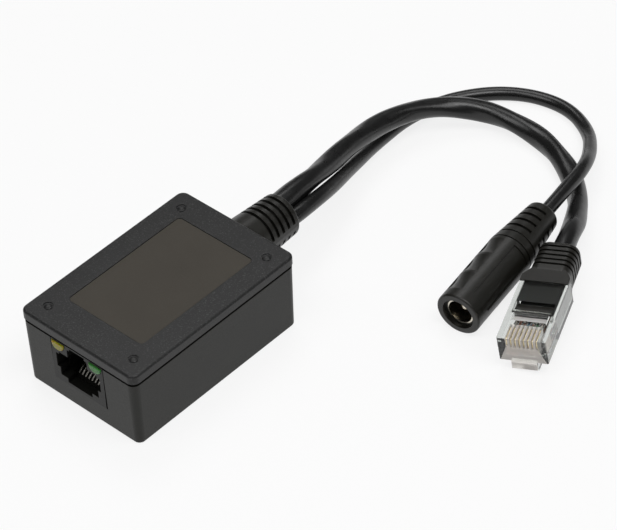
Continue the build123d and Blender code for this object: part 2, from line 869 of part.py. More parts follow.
def make_power_inductor():
    """Shielded inductor with cut corners and its round drum showing on top."""
    body = block_on(inductor_place, inductor_size, board_top)
    body = chamfer(body.edges().filter_by(Axis.Z), 1.2)
    top = board_top + inductor_size[2]
    ring = upright(inductor_place, 2.7, top - 0.3, top + 1) - upright(inductor_place, 2.4, top - 0.3, top + 1)
    return body - ring


def moulded_chip(place, size):
    """Moulded body with a chamfered top."""
    body = block_on(place, size, board_top)
    return chamfer(body.faces().sort_by(Axis.Z)[-1].edges(), 0.2)


def small_outline_leads(place, size, count, along_x):
    """Flat feet on both sides of a moulded body."""
    feet = []
    reach = size[0] / 2 if not along_x else size[1] / 2
    for index in range(count):
        step = (index - (count - 1) / 2) * 1.27
        for side in (-1, 1):
            near = side * reach
            far = side * (reach + 0.9)
            if along_x:
                x = (place[0] + step - 0.2, place[0] + step + 0.2)
                y = sorted((place[1] + near, place[1] + far))
            else:
                x = sorted((place[0] + near, place[0] + far))
                y = (place[1] + step - 0.2, place[1] + step + 0.2)
            feet.append(block(x, y, (board_top, board_top + 0.25)))
    return feet


def make_chip_leads():
    """Feet of the controller, the optocoupler and the bridge rectifiers."""
    feet = small_outline_leads(controller_place, controller_size, 4, False)
    feet += small_outline_leads(optocoupler_place, optocoupler_size, 2, True)
    return Compound(children=feet)


def chip_group(places, size):
    """Small ceramic parts, each with an end cap at both ends."""
    return Compound(children=[block_on(place, size, board_top) for place in places])


def make_strain_relief():
    """Tapered grip with half-ring grooves, a neck through the wall and an inner flange."""
    start = case_length / 2 + relief_gap_to_lid
    end = start + relief_length
    flange_back = inner_length / 2 - moulding_clearance - relief_gap_to_wall
    cone = Pos(0, (start + end) / 2, relief_axis_z) * Rot(-90, 0, 0) * Cone(
        relief_base_radius, relief_end_radius, relief_length)
    cone = fillet(cone.edges().sort_by(Axis.Y)[-1], relief_end_fillet)
    for index in range(relief_groove_count):
        y = start + relief_groove_first + index * relief_groove_pitch
        share = (y - start) / relief_length
        surface = relief_base_radius + (relief_end_radius - relief_base_radius) * share
        half = relief_groove_width / 2
        ring = along_y(0, relief_axis_z, surface + 1, y - half, y + half)
        ring -= along_y(0, relief_axis_z, surface - relief_groove_depth, y - 1, y + 1)
        spine = block(
            (-surface - 2, surface + 2), (y - 1, y + 1),
            (relief_axis_z - relief_spine_width / 2, relief_axis_z + relief_spine_width / 2))
        cone -= ring - spine
    relief = cone + along_y(0, relief_axis_z, relief_neck_radius, flange_back - 1, start + 0.5)
    return relief + along_y(
        0, relief_axis_z, relief_flange_radius, flange_back - relief_flange_thickness, flange_back)


def relief_inner_face_y():
    return inner_length / 2 - moulding_clearance - relief_gap_to_wall - relief_flange_thickness


def make_core_pair(pair):
    """Two conductors of one pair, from the strain relief down to their pads."""
    exit_x = network_cable_route[0][0] + (pair - 1.5) * core_pitch
    pad_x = core_pad_first_x + pair * core_pad_pitch
    wires = []
    for row, inset in zip((1, -1), core_pad_insets):
        pad_y = board_back - inset
        height = relief_axis_z + 0.6 + row * core_pitch / 2
        route = [
            (exit_x, relief_inner_face_y() - cable_seat_gap, height),
            (exit_x, relief_inner_face_y() - core_first_run, height),
            (pad_x, pad_y, height - core_fall),
            (pad_x, pad_y, board_top),
        ]
        wires.append(round_tube(route, core_diameter))
    return Compound(children=wires)


def make_power_core(index):
    """One conductor of the power cable."""
    exit_x = power_cable_route[0][0] + (index - 0.5) * power_core_spread
    pad_x = power_pad_first_x + index * power_pad_pitch
    pad_y = board_back - power_pad_inset
    height = power_cable_route[0][2] - 0.6
    return round_tube([
        (exit_x, relief_inner_face_y() - cable_seat_gap, height),
        (exit_x, relief_inner_face_y() - core_first_run, height),
        (pad_x, pad_y, height - core_fall),
        (pad_x, pad_y, board_top),
    ], power_core_diameter)


def plug_frame():
    """Where the plug lies: its cable end meets the network cable."""
    turn = Rot(0, 0, plug_heading) * Rot(plug_rise, 0, 0) * Rot(0, -plug_tilt, 0)
    return Pos(*network_cable_route[-1]) * turn * Pos(0, -plug_end - cable_seat_gap, -plug_height / 2)


def make_plug_body():
    """Clear moulded plug: contact slots, wire channels, pockets, cable bay and latch."""
    half = plug_width / 2
    body = block((-half, half), (0, plug_length), (0, plug_height))
    body = fillet(body.edges().filter_by(Axis.Z), plug_edge_fillet)
    slot_half = blade_thickness / 2 + blade_slot_clearance
    slot_floor = plug_wire_height + plug_wire_diameter / 2
    slot_end = blade_front + blade_length + blade_slot_clearance
    foot_start = blade_foot_front - blade_slot_clearance
    for offset in contact_offsets:
        across = (offset - slot_half, offset + slot_half)
        body -= block(across, (-1, slot_end), (blade_nose_height - blade_slot_clearance, plug_height + 1))
        body -= block(across, (foot_start, slot_end), (slot_floor, blade_nose_height))
        body -= along_y(
            offset, plug_wire_height, plug_wire_diameter / 2 + plug_channel_clearance,
            plug_wire_start - 0.1, jacket_cavity_start + 0.5)
    pocket = crimp_pocket_width / 2
    body -= block(
        (-pocket, pocket), (crimp_pocket_start, crimp_pocket_start + crimp_pocket_length),
        (plug_height - crimp_pocket_depth, plug_height + 1))
    bay = jacket_cavity_width / 2
    bay_top = jacket_cavity_floor + jacket_cavity_height
    body -= block((-bay, bay), (jacket_cavity_start, plug_length + 1), (jacket_cavity_floor, bay_top))
    window = jacket_window_width / 2
    body -= block(
        (-window, window), (jacket_window_start, jacket_window_start + jacket_window_length),
        (bay_top - 0.5, plug_height + 1))
    body -= block(
        (-plug_width, plug_width), (plug_length - hood_reach, plug_length + 1),
        (plug_height - hood_recess_depth, plug_height + 1))
    return body + make_latch()


def make_latch():
    """Springy latch, moulded with the plug at its nose: wide at the root, then a lever."""
    underside_slope = 0.3
    side_view = Polyline(
        (0, 0.4), (0, -latch_root_depth + 0.5), (0.5, -latch_root_depth),
        (latch_lever_length, -latch_root_depth - underside_slope),
        (latch_lever_length, -latch_root_depth - underside_slope + latch_lever_thickness),
        (2.2, -latch_root_depth + latch_lever_thickness), (1.6, -1.0), (1.6, 0.4), close=True)
    lever = extrude(Plane.YZ * make_face(side_view), latch_root_width / 2, both=True)
    for side in (-1, 1):
        trim = sorted((side * latch_lever_width / 2, side * latch_root_width))
        lever -= block(trim, (latch_root_length, latch_lever_length + 1), (-plug_height, plug_height))
    return lever


def make_plug_blades():
    """Eight gold blades, each standing on its conductor."""
    bottom = plug_wire_height + plug_wire_diameter / 2 + 0.02
    across = (-blade_thickness / 2, blade_thickness / 2)
    blade_end = blade_front + blade_length
    blade = block(across, (blade_front, blade_end), (blade_nose_height, plug_height - blade_top_inset))
    blade += block(across, (blade_foot_front, blade_end), (bottom, blade_nose_height))
    top_corners = blade.edges().filter_by(Axis.X).group_by(Axis.Z)[-1]
    blade = fillet(top_corners, 0.45)
    return Compound(children=[Pos(offset, 0, 0) * blade for offset in contact_offsets])


def make_plug_wires(indices):
    """Conductors side by side in the plug, by their place in the row."""
    end = jacket_cavity_start + 0.2
    return Compound(children=[
        along_y(contact_offsets[index], plug_wire_height, plug_wire_diameter / 2, plug_wire_start, end)
        for index in indices
    ])


def boot_section(distance, inset=0.0):
    """Rounded section of the boot at a distance from its front: a short neck, then the grip."""
    front = (boot_front_width, boot_front_height, boot_front_radius)
    neck = (boot_neck_width, boot_neck_height, boot_neck_radius)
    end = (boot_end_width, boot_end_height, boot_end_radius)
    if distance <= boot_neck_length:
        first, last, share = front, neck, distance / boot_neck_length
    else:
        first, last = neck, end
        share = (distance - boot_neck_length) / (boot_length - boot_neck_length)
    width, height, radius = [a + (b - a) * share for a, b in zip(first, last)]
    y = plug_length + boot_gap + distance
    plane = Plane(origin=(0, y, plug_height / 2), x_dir=(1, 0, 0), z_dir=(0, 1, 0))
    return plane * RectangleRounded(width - 2 * inset, height - 2 * inset, radius - inset)


def make_plug_boot():
    """Soft boot: a tongue inside the plug, a hood over its top and a grooved grip behind it."""
    grip = loft([boot_section(boot_neck_length), boot_section(boot_length)])
    grip = fillet(grip.faces().sort_by(Axis.Y)[-1].edges(), boot_end_fillet)
    start = plug_length + boot_gap
    for index in range(boot_groove_count):
        distance = boot_groove_first + index * boot_groove_pitch
        middle = start + distance
        slab = block(
            (-plug_width, plug_width), (middle - boot_groove_width / 2, middle + boot_groove_width / 2),
            (-plug_height, 2 * plug_height))
        core = extrude(boot_section(distance, boot_groove_depth), boot_groove_width, both=True)
        grip -= slab - core
    boot = grip + loft([boot_section(0), boot_section(boot_neck_length)])
    half = jacket_cavity_width / 2 - tongue_clearance
    boot += block(
        (-half, half), (jacket_cavity_start + 0.3, start + 0.5),
        (jacket_cavity_floor + tongue_clearance,
         jacket_cavity_floor + jacket_cavity_height - tongue_clearance))
    hood_bottom = plug_height - hood_recess_depth + boot_gap
    hood_front = plug_length - hood_reach + boot_gap
    hood_end = start + boot_neck_length
    outline = Polyline(
        (-plug_width / 2, hood_front), (plug_width / 2, hood_front), (plug_width / 2, plug_length),
        (boot_neck_width / 2 - 1, hood_end), (1 - boot_neck_width / 2, hood_end),
        (-plug_width / 2, plug_length), close=True)
    hood = extrude(Plane.XY.offset(hood_bottom) * make_face(outline), hood_thickness)
    return boot + hood


def socket_frame():
    """Where the power socket lies: its tail meets the power cable."""
    turn = Rot(0, 0, socket_heading) * Rot(socket_rise, 0, 0)
    return Pos(*power_cable_route[-1]) * turn * Pos(0, -socket_length - cable_seat_gap, 0)


def socket_bar(radius, start, end):
    return along_y(0, 0, radius, start, end)


def socket_surface(y):
    """Outer radius of the power socket's moulding at a distance from its mouth."""
    share = max(0.0, (y - socket_taper_start) / (socket_length - socket_taper_start))
    return socket_radius + (socket_tail_radius - socket_radius) * share


def socket_sector(start, end, angle, span):
    """Wedge round the power socket's axis. Its middle's angle runs from X towards Z."""
    reach = 2 * socket_radius
    half_width = reach * tangent(radians_of(span / 2))
    corners = Polyline((0, 0), (reach, -half_width), (reach, half_width), close=True)
    face = Plane(origin=(0, start, 0), x_dir=(1, 0, 0), z_dir=(0, 1, 0)) * make_face(corners)
    return Rot(0, -angle, 0) * extrude(face, end - start)


def socket_ring(start, end, depth):
    """Ring that cuts a groove of the given depth into the power socket's moulding."""
    surface = socket_surface((start + end) / 2)
    return socket_bar(surface + 1, start, end) - socket_bar(surface - depth, start - 1, end + 1)


def socket_scallop(start, end, depth):
    """Ring of round section, so deep between two ridges and running out at both."""
    half = (end - start) / 2
    radius = (half**2 + depth**2) / (2 * depth)
    middle = (start + end) / 2
    section = Plane.XY * Pos(socket_surface(middle) - depth + radius, middle) * Circle(radius)
    return revolve(section, Axis.Y)


def make_socket_body():
    """Moulded power socket: barrel with four grip recesses and a tapered, grooved tail."""
    outline = Polyline(
        (0, 0), (socket_radius, 0), (socket_radius, socket_taper_start),
        (socket_tail_radius, socket_length), (0, socket_length), close=True)
    body = revolve(Plane.XY * make_face(outline), Axis.Y)
    rims = body.edges().filter_by(GeomType.CIRCLE).sort_by(Axis.Y)
    body = fillet(rims[0], socket_rim_fillet)
    body = fillet(body.edges().filter_by(GeomType.CIRCLE).sort_by(Axis.Y)[-1], socket_tail_fillet)
    for place, width in zip(socket_ring_places, socket_ring_widths):
        body -= socket_ring(place - width / 2, place + width / 2, socket_ring_depth)
    for place in socket_groove_places:
        start = place - socket_groove_width / 2
        end = place + socket_groove_width / 2
        for angle in (socket_spine_angle + 90, socket_spine_angle - 90):
            body -= socket_ring(start, end, socket_groove_depth) & socket_sector(
                start, end, angle, socket_groove_span)
    for side in (0, 180):
        start, end = grip_long_ends
        body -= socket_ring(start, end, grip_recess_depth) & socket_sector(
            start, end, socket_spine_angle + side, grip_recess_span)
        for ridge, next_ridge in zip(grip_ridge_places, grip_ridge_places[1:]):
            start = ridge + grip_ridge_width / 2
            end = next_ridge - grip_ridge_width / 2
            body -= socket_scallop(start, end, grip_scallop_depth) & socket_sector(
                start, end, socket_spine_angle + 90 + side, grip_recess_span)
    bore = socket_bar(mouth_radius, -1, mouth_depth)
    bore += socket_bar(sleeve_outer_radius + sleeve_clearance, 0, mouth_depth + sleeve_length)
    bore += socket_bar(socket_pin_radius + 2.2, 0, socket_pin_end + socket_insulator_flange)
    return body - bore


def make_socket_sleeve():
    """Turned metal sleeve that a plug's barrel slides into."""
    return (socket_bar(sleeve_outer_radius, mouth_depth, mouth_depth + sleeve_length)
            - socket_bar(sleeve_inner_radius, 0, mouth_depth + sleeve_length + 1))


def make_socket_insulator():
    """Disc behind the sleeve that holds the middle pin."""
    front = mouth_depth + socket_insulator_front
    disc = socket_bar(sleeve_inner_radius - sleeve_clearance, front, socket_pin_end + socket_insulator_flange)
    return disc - socket_bar(socket_pin_radius + sleeve_clearance, front - 1, socket_pin_end + 0.05)


def make_socket_pin():
    """Middle pin with a rounded tip."""
    pin = socket_bar(socket_pin_radius, socket_pin_tip, socket_pin_end)
    return fillet(pin.edges().filter_by(GeomType.CIRCLE).sort_by(Axis.Y)[0], socket_pin_radius * 0.8)


os.makedirs("parts", exist_ok=True)

save("case_base", make_case_base())
save("lid", make_lid())
save("label_film", make_label())
save("circuit_board", make_circuit_board())
save("network_socket_housing", make_jack_housing())
save("contact_carrier", make_contact_carrier())
save("socket_contacts", make_contacts())
save("lamp_yellow", make_lamp(-1))
save("lamp_green", make_lamp(1))
save("lamp_leads", make_lamp_leads())
save("line_transformer", make_line_transformer())
save("line_transformer_leads", make_line_transformer_leads())
save("flyback_core", make_flyback_core())
save("flyback_bobbin", make_flyback_bobbin())
save("flyback_winding", make_flyback_winding())
save("flyback_pins", make_flyback_pins())
save("input_capacitor", make_input_capacitor())
save("output_capacitor", make_output_capacitor())
save("capacitor_leads", make_capacitor_leads())
save("power_inductor", make_power_inductor())
save("bridge_rectifiers", Compound(children=[
    moulded_chip(place, rectifier_size) for place in rectifier_places]))
save("controller_chip", moulded_chip(controller_place, controller_size))
save("optocoupler", moulded_chip(optocoupler_place, optocoupler_size))
save("chip_leads", make_chip_leads())
save("switching_transistor", moulded_chip(transistor_place, transistor_size))
save("output_diode", moulded_chip(output_diode_place, output_diode_size))
save("chip_capacitors", chip_group(chip_capacitor_places, chip_capacitor_size))
save("chip_resistors", chip_group(chip_resistor_places, chip_resistor_size))
save("strain_relief", make_strain_relief())
for pair, colour in enumerate(("orange", "green", "blue", "brown")):
    save(f"core_pair_{colour}", make_core_pair(pair))
save("power_core_red", make_power_core(0))
save("power_core_black", make_power_core(1))
save("network_cable", round_tube(network_cable_route, network_cable_diameter, "network cable"))
save("power_cable", round_tube(power_cable_route, power_cable_diameter, "power cable"))

plug = plug_frame()
save("plug_body", plug * make_plug_body())
save("plug_blades", plug * make_plug_blades())
save("plug_wires_striped", plug * make_plug_wires((0, 2, 4, 6)))
save("plug_wire_orange", plug * make_plug_wires((1,)))
save("plug_wire_blue", plug * make_plug_wires((3,)))
save("plug_wire_green", plug * make_plug_wires((5,)))
save("plug_wire_brown", plug * make_plug_wires((7,)))
save("plug_boot", plug * make_plug_boot())

power_socket = socket_frame()
save("power_socket_body", power_socket * make_socket_body())
save("power_socket_sleeve", power_socket * make_socket_sleeve())
save("power_socket_insulator", power_socket * make_socket_insulator())
save("power_socket_pin", power_socket * make_socket_pin())
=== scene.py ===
import math

import bmesh
import bpy
from bpy.props import FloatProperty, FloatVectorProperty, IntProperty, PointerProperty
from mathutils import Matrix, Vector


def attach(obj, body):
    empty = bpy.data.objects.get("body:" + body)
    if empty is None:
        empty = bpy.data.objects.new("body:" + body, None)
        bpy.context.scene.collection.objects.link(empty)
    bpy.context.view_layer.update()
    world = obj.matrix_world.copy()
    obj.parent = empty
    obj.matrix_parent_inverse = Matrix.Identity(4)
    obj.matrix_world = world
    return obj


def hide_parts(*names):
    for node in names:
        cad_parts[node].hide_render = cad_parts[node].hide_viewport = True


bl_info = {
    "name": "Power over ethernet splitter",
    "version": (1, 0, 0),
    "blender": (4, 5, 0),
    "location": "3D View > Sidebar > Splitter",
    "description": "Dresses the splitter box, its two cables and their connectors",
    "category": "Object",
}

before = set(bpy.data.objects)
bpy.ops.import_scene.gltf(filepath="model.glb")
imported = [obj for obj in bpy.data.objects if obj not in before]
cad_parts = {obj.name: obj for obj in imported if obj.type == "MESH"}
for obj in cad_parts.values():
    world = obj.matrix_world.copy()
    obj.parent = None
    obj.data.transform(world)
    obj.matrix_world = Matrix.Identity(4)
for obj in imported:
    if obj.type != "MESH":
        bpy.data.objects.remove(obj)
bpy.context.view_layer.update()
MM = 0.001

# Points between each cable's straight runs, in metres, the same as in the solids.
NETWORK_CABLE_ROUTE = [
    (-0.0021, 0.04125, 0.0150),
    (-0.0021, 0.0495, 0.0150),
    (-0.0047, 0.0615, 0.0124),
    (-0.0080, 0.0755, 0.0099),
    (-0.0082, 0.0893, 0.0084),
    (-0.0039, 0.1020, 0.0066),
    (0.0060, 0.1109, 0.0042),
    (0.0190, 0.1129, 0.0026),
    (0.0318, 0.1087, 0.0026),
    (0.0422, 0.1006, 0.0026),
    (0.0488, 0.0913, 0.0052),
    (0.05278, 0.08321, 0.00766),
    (0.05512, 0.07769, 0.0075),
]
POWER_CABLE_ROUTE = [
    (0.0020, 0.04125, 0.0129),
    (0.0020, 0.0495, 0.0129),
    (-0.0009, 0.0608, 0.0097),
    (-0.0055, 0.0730, 0.0056),
    (-0.0090, 0.0850, 0.0026),
    (-0.0102, 0.0975, 0.00175),
    (-0.0072, 0.1096, 0.00175),
    (-0.0004, 0.1190, 0.00175),
    (0.0087, 0.1250, 0.00175),
    (0.0192, 0.1264, 0.00175),
    (0.0287, 0.1220, 0.0019),
    (0.0356, 0.1136, 0.0048),
    (0.0404, 0.1046, 0.0080),
    (0.0421, 0.09525, 0.00844),
    (0.04344, 0.08552, 0.0079),
]
# The network plug's turn in degrees, its reach from nose to cable and its body's height in metres.
PLUG_HEADING = 23.0
PLUG_RISE = 1.5
PLUG_TILT = 7.3
PLUG_SPAN = 0.0336
PLUG_HEIGHT = 0.0066
# The floor of the plug's crimp pocket: half its width, its start and end, and its height.
POCKET_HALF = 0.0043
POCKET_START = 0.0062
POCKET_END = 0.0092
POCKET_FLOOR = 0.0051
# The comb that stands between the blades, painted pale as painted light: its end behind the nose and its
# foot.
COMB_END = 0.0045
COMB_FOOT = 0.0020
# How far a face may lie from where it is looked for.
FACE_SLACK = 0.1 * MM

# Edges that turn by more than this, in degrees, stay sharp.
SHARP_ANGLE = 35.0
PLUG_SHARP_ANGLE = 25.0
CABLE_SHARP_ANGLE = 60.0

# A noise texture keeps to this span; the peaks of its grain, above the third value, carry painted glints.
NOISE_LOW = 0.3
NOISE_HIGH = 0.7
PEAK_LOW = 0.56
# How far the roughness of a grained surface strays to either side.
ROUGHNESS_SPREAD = 0.05
POLYCARBONATE_IOR = 1.585

# The photograph's width in pixels and the camera that was solved on it. Its angles are in degrees,
# and the offset is where it sees the part's origin: to the right, down and away, in metres.
PHOTO_WIDTH = 617
FOCAL_PIXELS = 2965.05
SENSOR_WIDTH = 36.0
CAMERA_AZIMUTH = 44.154
CAMERA_ELEVATION = 42.065
CAMERA_ROLL = -3.114
CAMERA_OFFSET = (-0.033201, 0.019492, 0.686969)

# The studio by the sine of the height: white paper up to the horizon, then a dim room.
SKY_LEVELS = [(0.12, 1.0), (0.17, 0.12)]
# Three equal soft boxes stand round the object and one hangs over it, and all look at its middle.
# Lengths in metres, angles in degrees, powers in watts.
LIGHT_TARGET = (0.03, 0.045, 0.01)
RING_TURNS = (138.0, 258.0, 18.0)
RING_HEIGHT = 60.0
RING_DISTANCE = 1.8
RING_SIZE = 0.9
RING_POWER = 8.2
OVERHEAD_PLACE = (0.3, -0.05, 0.85)
OVERHEAD_SIZE = 0.36
OVERHEAD_POWER = 2.4
# The floor's reach to each side, its paper's own white, and how much of what the eye and the
# mirrors see of it is an even glow: the rest keeps the shadow.
FLOOR_HALF = 3.0
PAPER_WHITE = (0.80, 0.84)
PAPER_GLOW = 0.82


def linear(code):
    """An sRGB hex colour as linear red, green and blue."""
    shares = [int(code[i:i + 2], 16) / 255 for i in (0, 2, 4)]
    return tuple(s / 12.92 if s <= 0.04045 else ((s + 0.055) / 1.055) ** 2.4 for s in shares)


def colour(title, code, description):
    """A colour that the user can change."""
    return FloatVectorProperty(
        name=title, description=description, subtype="COLOR", size=3, min=0, max=1,
        default=linear(code))


class SplitterColours(bpy.types.PropertyGroup):
    case: colour("Case", "191915", "Moulded case")
    lid: colour("Lid", "191919", "Moulded lid")
    label: colour("Label", "3A362F", "Bare film in the lid's recess")
    socket: colour("Network socket", "121210", "Moulded socket body")
    soft: colour("Soft mouldings", "151410", "Strain relief, boot and power socket")
    jacket: colour("Cable jacket", "0E0E0E", "Both cables")
    yellow_lamp: colour("Yellow lamp", "8C861C", "Lamp on the left of the socket")
    green_lamp: colour("Green lamp", "32742C", "Lamp on the right of the socket")
    clear: colour("Clear plug", "E6E9E6", "Moulded plug body")


class SplitterSizes(bpy.types.PropertyGroup):
    network_cable: FloatProperty(
        name="Network cable", description="Outside diameter of the network cable",
        default=0.0052, min=0.003, max=0.009, subtype="DISTANCE", unit="LENGTH")
    power_cable: FloatProperty(
        name="Power cable", description="Outside diameter of the power cable",
        default=0.0035, min=0.002, max=0.008, subtype="DISTANCE", unit="LENGTH")
    case_grain: FloatProperty(
        name="Case grain", description="Width of one grain of the moulded case, in millimetres",
        default=0.34, min=0.1, max=3.0)
    cable_sides: IntProperty(
        name="Cable sides", description="Points round each cable's section",
        default=28, min=8, max=64)


def add(tree, kind, settings=None, inputs=None):
    """Adds a node, sets its options, and sets or links its inputs."""
    node = tree.nodes.new(kind)
    for name, value in (settings or {}).items():
        setattr(node, name, value)
    for name, value in (inputs or {}).items():
        if isinstance(value, bpy.types.NodeSocket):
            tree.links.new(value, node.inputs[name])
        else:
            node.inputs[name].default_value = value
    return node


def per_metre(millimetres):
    """A noise texture's scale for a grain of this width."""
    return 1000.0 / millimetres


def blank(name):
    """A new material without nodes, and its tree."""
    material = bpy.data.materials.new(name)
    material.use_nodes = True
    material.node_tree.nodes.clear()
    return material, material.node_tree


def finish(name, base, roughness, grain, height, mottle=0.1, mottle_width=7.0, glint_gain=1.0,
           specular=0.5, metallic=0.0, **shader):
    """A moulded, drawn or plated surface. Its grain stands in relief, its peaks painted lighter by a
    given factor as painted glints, and its tone strays slowly by the share mottle. Widths and heights are in
    mm."""
    material, tree = blank(name)
    place = add(tree, "ShaderNodeTexCoord").outputs["Object"]
    slow = add(tree, "ShaderNodeTexNoise", inputs={
        "Vector": place, "Scale": per_metre(mottle_width), "Detail": 3.0})
    fine = add(tree, "ShaderNodeTexNoise", inputs={
        "Vector": place, "Scale": per_metre(grain), "Detail": 2.0, "Roughness": 0.6})
    tone = add(tree, "ShaderNodeMapRange", inputs={
        "Value": slow.outputs["Fac"], "From Min": NOISE_LOW, "From Max": NOISE_HIGH,
        "To Min": 1 - mottle, "To Max": 1 + mottle})
    # Painted glints: the grain's peaks are drawn lighter by a given factor.
    peaks = add(tree, "ShaderNodeMapRange", inputs={
        "Value": fine.outputs["Fac"], "From Min": PEAK_LOW, "From Max": NOISE_HIGH,
        "To Min": 1.0, "To Max": glint_gain})
    tone = add(tree, "ShaderNodeMath", {"operation": "MULTIPLY"}, {
        0: tone.outputs["Result"], 1: peaks.outputs["Result"]})
    shade = add(tree, "ShaderNodeVectorMath", {"operation": "SCALE"}, {
        0: base, "Scale": tone.outputs["Value"]})
    gloss = add(tree, "ShaderNodeMapRange", inputs={
        "Value": fine.outputs["Fac"], "From Min": NOISE_LOW, "From Max": NOISE_HIGH,
        "To Min": roughness - ROUGHNESS_SPREAD, "To Max": roughness + ROUGHNESS_SPREAD})
    relief = add(tree, "ShaderNodeBump", inputs={
        "Strength": 1.0, "Distance": height * MM, "Height": fine.outputs["Fac"]})
    surface = add(tree, "ShaderNodeBsdfPrincipled", inputs={
        "Base Color": shade.outputs["Vector"], "Roughness": gloss.outputs["Result"],
        "Specular IOR Level": specular, "Metallic": metallic,
        "Normal": relief.outputs["Normal"], **shader})
    add(tree, "ShaderNodeOutputMaterial", inputs={"Surface": surface.outputs["BSDF"]})
    return material


def clear_polycarbonate(name, base):
    """Clear injection-moulded polycarbonate: sharp reflections, a faint ripple of flow."""
    ripple, ripple_height = 2.5, 0.012
    material, tree = blank(name)
    place = add(tree, "ShaderNodeTexCoord").outputs["Object"]
    flow = add(tree, "ShaderNodeTexNoise", inputs={
        "Vector": place, "Scale": per_metre(ripple), "Detail": 1.0})
    relief = add(tree, "ShaderNodeBump", inputs={
        "Strength": 0.5, "Distance": ripple_height * MM, "Height": flow.outputs["Fac"]})
    surface = add(tree, "ShaderNodeBsdfPrincipled", inputs={
        "Base Color": (*base, 1.0), "Roughness": 0.06, "IOR": POLYCARBONATE_IOR,
        "Transmission Weight": 1.0, "Normal": relief.outputs["Normal"]})
    add(tree, "ShaderNodeOutputMaterial", inputs={"Surface": surface.outputs["BSDF"]})
    return material


def ground_and_painted_pale_polycarbonate(name, base, roughness, clearness):
    """The same plastic made partly white: ground where its surface is broken up, and painted pale as painted
    light where it is clear.
    """
    scratch, scratch_height = 0.3, 0.02
    material, tree = blank(name)
    place = add(tree, "ShaderNodeTexCoord").outputs["Object"]
    scratches = add(tree, "ShaderNodeTexNoise", inputs={
        "Vector": place, "Scale": per_metre(scratch), "Detail": 2.0})
    relief = add(tree, "ShaderNodeBump", inputs={
        "Strength": 0.8, "Distance": scratch_height * MM, "Height": scratches.outputs["Fac"]})
    surface = add(tree, "ShaderNodeBsdfPrincipled", inputs={
        "Base Color": (*base, 1.0), "Roughness": roughness, "IOR": POLYCARBONATE_IOR,
        "Transmission Weight": clearness, "Normal": relief.outputs["Normal"]})
    add(tree, "ShaderNodeOutputMaterial", inputs={"Surface": surface.outputs["BSDF"]})
    return material


def striped_insulation(name, white, stripe):
    """Drawn polyethylene insulation, white with a coloured stripe. The stripe of a 1 mm wire is too
    fine to show, so it is drawn as patches of 1.2 mm."""
    patch, patch_edge, white_edge = 1.2, 0.42, 0.5
    material, tree = blank(name)
    place = add(tree, "ShaderNodeTexCoord").outputs["Object"]
    patches = add(tree, "ShaderNodeTexNoise", inputs={
        "Vector": place, "Scale": per_metre(patch), "Detail": 2.0})
    ramp = add(tree, "ShaderNodeValToRGB", inputs={"Fac": patches.outputs["Fac"]})
    stops = zip(ramp.color_ramp.elements, ((patch_edge, stripe), (white_edge, white)))
    for stop, (position, shade) in stops:
        stop.position = position
        stop.color = (*shade, 1.0)
    surface = add(tree, "ShaderNodeBsdfPrincipled", inputs={
        "Base Color": ramp.outputs["Color"], "Roughness": 0.4})
    add(tree, "ShaderNodeOutputMaterial", inputs={"Surface": surface.outputs["BSDF"]})
    return material


def wound_tape(name, base, turn):
    """Polyester tape round a winding: glossy, with the turns of wire showing as ridges."""
    ridge_height = 0.05
    material, tree = blank(name)
    place = add(tree, "ShaderNodeTexCoord").outputs["Object"]
    # A wave texture makes 20 / tau waves in a metre at scale 1.
    turns = add(tree, "ShaderNodeTexWave", {"bands_direction": "Y"}, {
        "Vector": place, "Scale": per_metre(turn) * math.tau / 20, "Distortion": 0.4})
    relief = add(tree, "ShaderNodeBump", inputs={
        "Strength": 0.6, "Distance": ridge_height * MM, "Height": turns.outputs["Fac"]})
    surface = add(tree, "ShaderNodeBsdfPrincipled", inputs={
        "Base Color": (*base, 1.0), "Roughness": 0.3, "Normal": relief.outputs["Normal"]})
    add(tree, "ShaderNodeOutputMaterial", inputs={"Surface": surface.outputs["BSDF"]})
    return material


def dress(node, material, angle=SHARP_ANGLE):
    """Gives a CAD node its material, with curved faces smooth and real edges sharp."""
    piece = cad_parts[node]
    piece.data.materials.clear()
    piece.data.materials.append(material)
    piece.data.shade_smooth()
    piece.data.set_sharp_from_angle(angle=math.radians(angle))
    return piece


class SPLITTER_OT_case(bpy.types.Operator):
    """Finishes the case, the lid and the film in its recess"""
    bl_idname = "splitter.case"
    bl_label = "Case"

    def execute(self, context):
        colours = context.scene.splitter_colours
        grain = context.scene.splitter_sizes.case_grain
        # ABS moulded in a spark-eroded tool: matt, its grain in relief, with painted glints that make the
        # grain's peaks up to four times lighter. The real grain of about 0.1 mm is too fine to show, so it is
        # drawn coarser.
        dress("lid", finish(
            "Spark-eroded ABS", colours.lid, roughness=0.36, grain=grain, height=0.03, glint_gain=4.0,
            specular=0.3))
        # The tub's walls stand along the draw of the mould, so their grain is lower and duller.
        dress("case_base", finish(
            "Fine-eroded ABS", colours.case, roughness=0.42, grain=grain, height=0.02, specular=0.28))
        # Matt polyester film: flatter and a little browner than the case, and bare.
        dress("label_film", finish(
            "Matt polyester film", colours.label, roughness=0.6, grain=0.3, height=0.006, mottle=0.06,
            mottle_width=12.0, specular=0.3))
        return {"FINISHED"}


